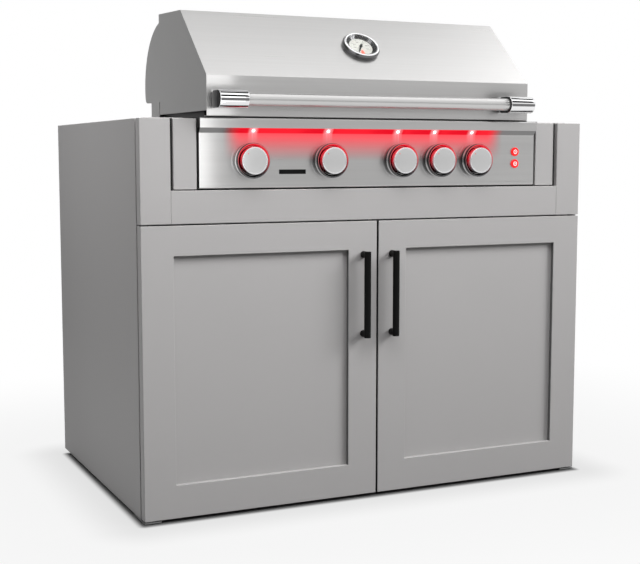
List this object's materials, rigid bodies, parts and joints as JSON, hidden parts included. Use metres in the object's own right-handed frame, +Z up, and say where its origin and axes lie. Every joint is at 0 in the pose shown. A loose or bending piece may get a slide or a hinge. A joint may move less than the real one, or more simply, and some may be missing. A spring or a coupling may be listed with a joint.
{
  "type": "grill cabinet",
  "caption": "Free-standing outdoor cabinet with framed double doors and a built-in gas grill with a lifting hood, lit control panel, round knobs and a dial gauge.",
  "frame": {"origin": "on the floor under the middle of the object's bounding box", "axes": "+X to the right seen from the front, +Y towards the back, +Z up; the doors face -Y"},
  "size_m": [1.067, 0.7494, 1.068],
  "materials": {
    "cabinet_board": "satin grey board",
    "glide_plastic": "black moulded",
    "pivot_steel": "plain turned steel",
    "bush_nylon": "dark nylon",
    "pull_black": "satin black",
    "stainless": "brushed along the width",
    "firebox_steel": "black enamel",
    "burner_steel": "plain tube and sheet",
    "grate_steel": "bright rod",
    "burner_tile": "stands for ceramic tile in a pressed frame",
    "bright_trim": "polished",
    "knob_metal": "polished side and satin face",
    "valve_brass": "machined",
    "light_lens": "lit red lens",
    "bumper_rubber": "black",
    "dial_face": "cream face with a plain scale",
    "gauge_glass": "clear flat glass",
    "needle_black": "black"
  },
  "bodies": {
    "cabinet": {"left_side_panel": "cabinet_board", "right_side_panel": "cabinet_board", "back_panel": "cabinet_board", "floor_panel": "cabinet_board", "deck_boards": "cabinet_board", "front_boards": "cabinet_board", "cross_rail": "cabinet_board", "front_rail": "cabinet_board", "front_stiles": "cabinet_board", "filler_strips": "cabinet_board", "levelling_feet": "glide_plastic", "front_spacers": "glide_plastic", "door_catches": "glide_plastic", "door_pivots": "pivot_steel", "hood_pivot_pins": "pivot_steel", "control_panel": "stainless", "rear_housing": "stainless", "firebox": "firebox_steel", "burners": "burner_steel", "gas_manifold": "burner_steel", "flame_tamers": "burner_steel", "cooking_grates": "grate_steel", "warming_rack": "grate_steel", "rear_burner": "burner_tile", "knob_bezels": "bright_trim", "gas_valves": "valve_brass", "panel_lights": "light_lens", "switch_bodies": "light_lens", "hood_bumpers": "bumper_rubber"},
    "hood": {"hood_skin": "stainless", "hood_sides": "stainless", "hood_handle_bar": "stainless", "hood_handle_posts": "bright_trim", "gauge_bezel": "bright_trim", "gauge_dial": "dial_face", "gauge_glass": "gauge_glass"},
    "gauge_needle": {"gauge_needle": "needle_black"},
    "drip_tray": {"drip_tray": "burner_steel"},
    "upper_light_button": {"upper_light_button": "light_lens"},
    "lower_light_button": {"lower_light_button": "light_lens"},
    "left_door": {"left_door_frame": "cabinet_board", "left_door_panel": "cabinet_board", "left_door_handle": "pull_black", "left_door_fixings": "pivot_steel", "left_door_bushes": "bush_nylon"},
    "right_door": {"right_door_frame": "cabinet_board", "right_door_panel": "cabinet_board", "right_door_handle": "pull_black", "right_door_fixings": "pivot_steel", "right_door_bushes": "bush_nylon"},
    "valve_plug_1": {"valve_plug_1": "valve_brass"},
    "knob_1": {"knob_1": "knob_metal"},
    "valve_plug_2": {"valve_plug_2": "valve_brass"},
    "knob_2": {"knob_2": "knob_metal"},
    "valve_plug_3": {"valve_plug_3": "valve_brass"},
    "knob_3": {"knob_3": "knob_metal"},
    "valve_plug_4": {"valve_plug_4": "valve_brass"},
    "knob_4": {"knob_4": "knob_metal"},
    "valve_plug_5": {"valve_plug_5": "valve_brass"},
    "knob_5": {"knob_5": "knob_metal"}
  },
  "joints": [
    {"name": "hood_hinge", "type": "hinge", "parent": "cabinet", "child": "hood", "pos_m": [0, -0.02625, 0.909], "axis": [-1, 0, 0], "range_deg": [0, 90]},
    {"name": "left_door_hinge", "type": "hinge", "parent": "cabinet", "child": "left_door", "pos_m": [-0.5225, -0.31925, 0.30975], "axis": [0, 0, -1], "range_deg": [0, 110]},
    {"name": "right_door_hinge", "type": "hinge", "parent": "cabinet", "child": "right_door", "pos_m": [0.5225, -0.31925, 0.30975], "axis": [0, 0, 1], "range_deg": [0, 110]},
    {"name": "tray_slide", "type": "slide", "parent": "cabinet", "child": "drip_tray", "axis": [0, -1, 0], "range_m": [0, 0.05]},
    {"name": "gauge_needle_turn", "type": "hinge", "parent": "hood", "child": "gauge_needle", "pos_m": [0, -0.24375, 0.9895], "axis": [0, 0.6692, -0.7431], "range_deg": [0, 270]},
    {"name": "valve_1_turn", "type": "hinge", "parent": "cabinet", "child": "valve_plug_1", "pos_m": [-0.29581, -0.30425, 0.743], "axis": [0, -1, 0], "range_deg": [0, 180]},
    {"name": "knob_1_push", "type": "slide", "parent": "valve_plug_1", "child": "knob_1", "axis": [0, 1, 0], "range_m": [0, 0.004], "stiffness_N_per_m": 1500},
    {"name": "valve_2_turn", "type": "hinge", "parent": "cabinet", "child": "valve_plug_2", "pos_m": [-0.1151, -0.30425, 0.743], "axis": [0, -1, 0], "range_deg": [0, 180]},
    {"name": "knob_2_push", "type": "slide", "parent": "valve_plug_2", "child": "knob_2", "axis": [0, 1, 0], "range_m": [0, 0.004], "stiffness_N_per_m": 1500},
    {"name": "valve_3_turn", "type": "hinge", "parent": "cabinet", "child": "valve_plug_3", "pos_m": [0.05552, -0.30425, 0.743], "axis": [0, -1, 0], "range_deg": [0, 180]},
    {"name": "knob_3_push", "type": "slide", "parent": "valve_plug_3", "child": "knob_3", "axis": [0, 1, 0], "range_m": [0, 0.004], "stiffness_N_per_m": 1500},
    {"name": "valve_4_turn", "type": "hinge", "parent": "cabinet", "child": "valve_plug_4", "pos_m": [0.15258, -0.30425, 0.743], "axis": [0, -1, 0], "range_deg": [0, 180]},
    {"name": "knob_4_push", "type": "slide", "parent": "valve_plug_4", "child": "knob_4", "axis": [0, 1, 0], "range_m": [0, 0.004], "stiffness_N_per_m": 1500},
    {"name": "valve_5_turn", "type": "hinge", "parent": "cabinet", "child": "valve_plug_5", "pos_m": [0.24741, -0.30425, 0.743], "axis": [0, -1, 0], "range_deg": [0, 180]},
    {"name": "knob_5_push", "type": "slide", "parent": "valve_plug_5", "child": "knob_5", "axis": [0, 1, 0], "range_m": [0, 0.004], "stiffness_N_per_m": 1500},
    {"name": "upper_button_push", "type": "slide", "parent": "cabinet", "child": "upper_light_button", "axis": [0, 1, 0], "range_m": [0, 0.002], "stiffness_N_per_m": 600},
    {"name": "lower_button_push", "type": "slide", "parent": "cabinet", "child": "lower_light_button", "axis": [0, 1, 0], "range_m": [0, 0.002], "stiffness_N_per_m": 600}
  ]
}
